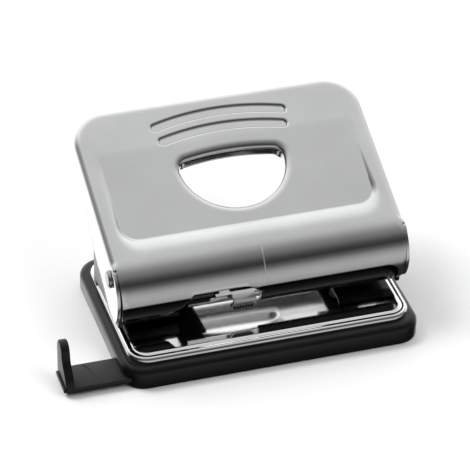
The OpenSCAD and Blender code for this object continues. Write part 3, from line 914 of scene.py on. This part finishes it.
def make_grip():
    centre_x, radius, angle = -8.5, 16, math.radians(187)
    width, height = 10.1, 5.3
    rib_pitch, rib_half, rib_reach = 1.1, 0.34, 1.6
    # Inset from the oval's edge and height over the roll, for the metal rim and its dark fill
    rim_levels = ((0.1, -0.15), (0, 0), (0, 1.0), (0.15, 1.22), (0.5, 1.26))
    fill_levels = ((0.62, 1.1), (0.62, 1.3), (0.8, 1.36))

    def on_grip(x, along, out):
        u = ROLL_U + (radius + out) * math.cos(angle) - along * math.sin(angle)
        w = ROLL_W + (radius + out) * math.sin(angle) + along * math.cos(angle)
        return from_handle(centre_x + x, u, w)

    def oval_rows(levels):
        rows = []
        for inset, out in levels:
            r = height / 2 - inset
            flat = (width - height) / 2
            oval = arc(flat, 0, r, -90, 90, 14) + arc(-flat, 0, r, 90, 270, 14)
            rows.append([on_grip(x, y, out) for x, y in oval])
        return rows

    rim = new_object("lock_grip_rim", *loft(oval_rows(rim_levels)))
    weld(rim)
    crisp(rim)
    place(rim, "lock", "lock_steel", look="zinc_steel")
    meshes = [loft(oval_rows(fill_levels))]
    for i in range(-3, 4):
        rib_x = i * rib_pitch
        low, high = (rib_x - rib_half, -rib_reach, 1.2), (rib_x + rib_half, rib_reach, 1.8)
        points, faces = box_mesh(low, high)
        meshes.append(([on_grip(*p) for p in points], faces))
    grip = joined("lock_grip", *meshes)
    weld(grip)
    rounded(grip, 0.1, segments=2)
    place(grip, "lock", "lock_steel", look="grip_plastic")


make_grip()


# ---- floor, light and camera ----

# (degrees up from the front horizon, brightness): 90 is overhead, 180 the back, -90 below
STUDIO_BANDS = (
    (-180, 1.3), (-142, 1.4), (-130, 1.1), (-118, 0.03), (-57, 0.03), (-46, 0.06), (-38, 0.46), (-21, 0.58),
    (-9, 0.56), (3, 0.4), (15, 0.15), (27, 0.04), (39, 0.1), (51, 0.23), (63, 0.33), (75, 0.52),
    (87, 0.72), (99, 0.8), (125, 1.2), (160, 1.5), (180, 1.3),
)


def make_floor():
    reach = 3000
    corners = [(-reach, -reach, 0), (reach, -reach, 0), (reach, reach, 0), (-reach, reach, 0)]
    floor = new_object("floor", corners, [[0, 1, 2, 3]])
    look = Look("white_floor", metallic=0.0)
    tone = look.mix(look.noise(3, detail=2), (0.86, 0.86, 0.86), (0.89, 0.89, 0.89))
    fine = look.noise(400)
    floor.data.materials.append(look.finish(tone, look.ramp(fine, 0.3, 0.7, 0.7, 0.8), look.bump(fine, 0.02)))
    floor.visible_glossy = False


def make_world():
    """A studio seen in the metal: bright above and behind, with dark and light bands low in front.

    The light depends on the angle up from the front horizon, over the top to the back, and it
    falls off at the left and right ends."""
    world = bpy.data.worlds.new("studio")
    bpy.context.scene.world = world
    world.use_nodes = True
    nodes, links = world.node_tree.nodes, world.node_tree.links

    def node(kind, *inputs, **settings):
        made = nodes.new(kind)
        for name, value in settings.items():
            setattr(made, name, value)
        for number, value in enumerate(inputs):
            if isinstance(value, bpy.types.NodeSocket):
                links.new(value, made.inputs[number])
            else:
                made.inputs[number].default_value = value
        return made.outputs[0]

    split = nodes.new("ShaderNodeSeparateXYZ")
    links.new(nodes.new("ShaderNodeTexCoord").outputs["Generated"], split.inputs["Vector"])
    ahead = node("ShaderNodeMath", split.outputs["Y"], -1.0, operation="MULTIPLY")
    turn = node("ShaderNodeMath", split.outputs["Z"], ahead, operation="ARCTAN2")
    share = node("ShaderNodeMapRange", turn, -math.pi, math.pi, 0.0, 1.0)
    bands = nodes.new("ShaderNodeValToRGB")
    links.new(share, bands.inputs["Fac"])
    while len(bands.color_ramp.elements) < len(STUDIO_BANDS):
        bands.color_ramp.elements.new(0.5)
    for element, (angle, value) in zip(bands.color_ramp.elements, STUDIO_BANDS):
        element.position = (angle + 180) / 360
        element.color = (value, value, value, 1)
    left = node("ShaderNodeMapRange", split.outputs["X"], -0.9, -0.45, 0.12, 1.0)
    right = node("ShaderNodeMapRange", split.outputs["X"], 0.6, 0.95, 1.0, 0.6)
    ends = node("ShaderNodeMath", left, right, operation="MULTIPLY")
    background = nodes["Background"]
    links.new(bands.outputs["Color"], background.inputs["Color"])
    links.new(ends, background.inputs["Strength"])


def make_light(name, place_at, target, size, power):
    light = bpy.data.lights.new(name, "AREA")
    light.shape = "RECTANGLE"
    light.size, light.size_y = size
    light.energy = power
    lamp = bpy.data.objects.new(name, light)
    bpy.context.scene.collection.objects.link(lamp)
    lamp.visible_glossy = False
    lamp.location = place_at
    lamp.rotation_euler = (Vector(target) - Vector(place_at)).to_track_quat("-Z", "Y").to_euler()


def make_camera():
    """The camera at the front left, looking down on the punch, turned slightly about its own axis."""
    azimuth, elevation, roll = 0.317, 0.640, 0.023
    distance, lens, sensor = 1.160, 229.787, 36
    aim_right, aim_up = -0.0044167, 0.02441
    ca, sa, ce, se = math.cos(azimuth), math.sin(azimuth), math.cos(elevation), math.sin(elevation)
    right = Vector((ca, -sa, 0))
    forward = Vector((sa * ce, ca * ce, -se))
    up = Vector((sa * se, ca * se, ce))
    aim = (forward + right * aim_right + up * aim_up).normalized()
    turn = forward.rotation_difference(aim)
    right, up = turn @ right, turn @ up
    rolled_right = right * math.cos(roll) + up * math.sin(roll)
    rolled_up = up * math.cos(roll) - right * math.sin(roll)
    camera = bpy.data.objects.new("camera", bpy.data.cameras.new("camera"))
    bpy.context.scene.collection.objects.link(camera)
    basis = Matrix((rolled_right, rolled_up, -aim)).transposed()
    camera.matrix_world = Matrix.Translation(forward * -distance) @ basis.to_4x4()
    camera.data.sensor_width = sensor
    camera.data.lens = lens
    camera.data.clip_start = 0.05
    camera.data.clip_end = 20
    camera.data.dof.use_dof = False
    bpy.context.scene.camera = camera


make_floor()
make_world()
make_light("key", (-0.9, 0.7, 1.5), (0, 0, 0), (0.9, 0.9), 22)
make_light("fill", (0.9, -1.0, 1.4), (0, 0, 0), (1.2, 0.8), 12)
make_camera()
bpy.context.scene.view_settings.view_transform = "Standard"
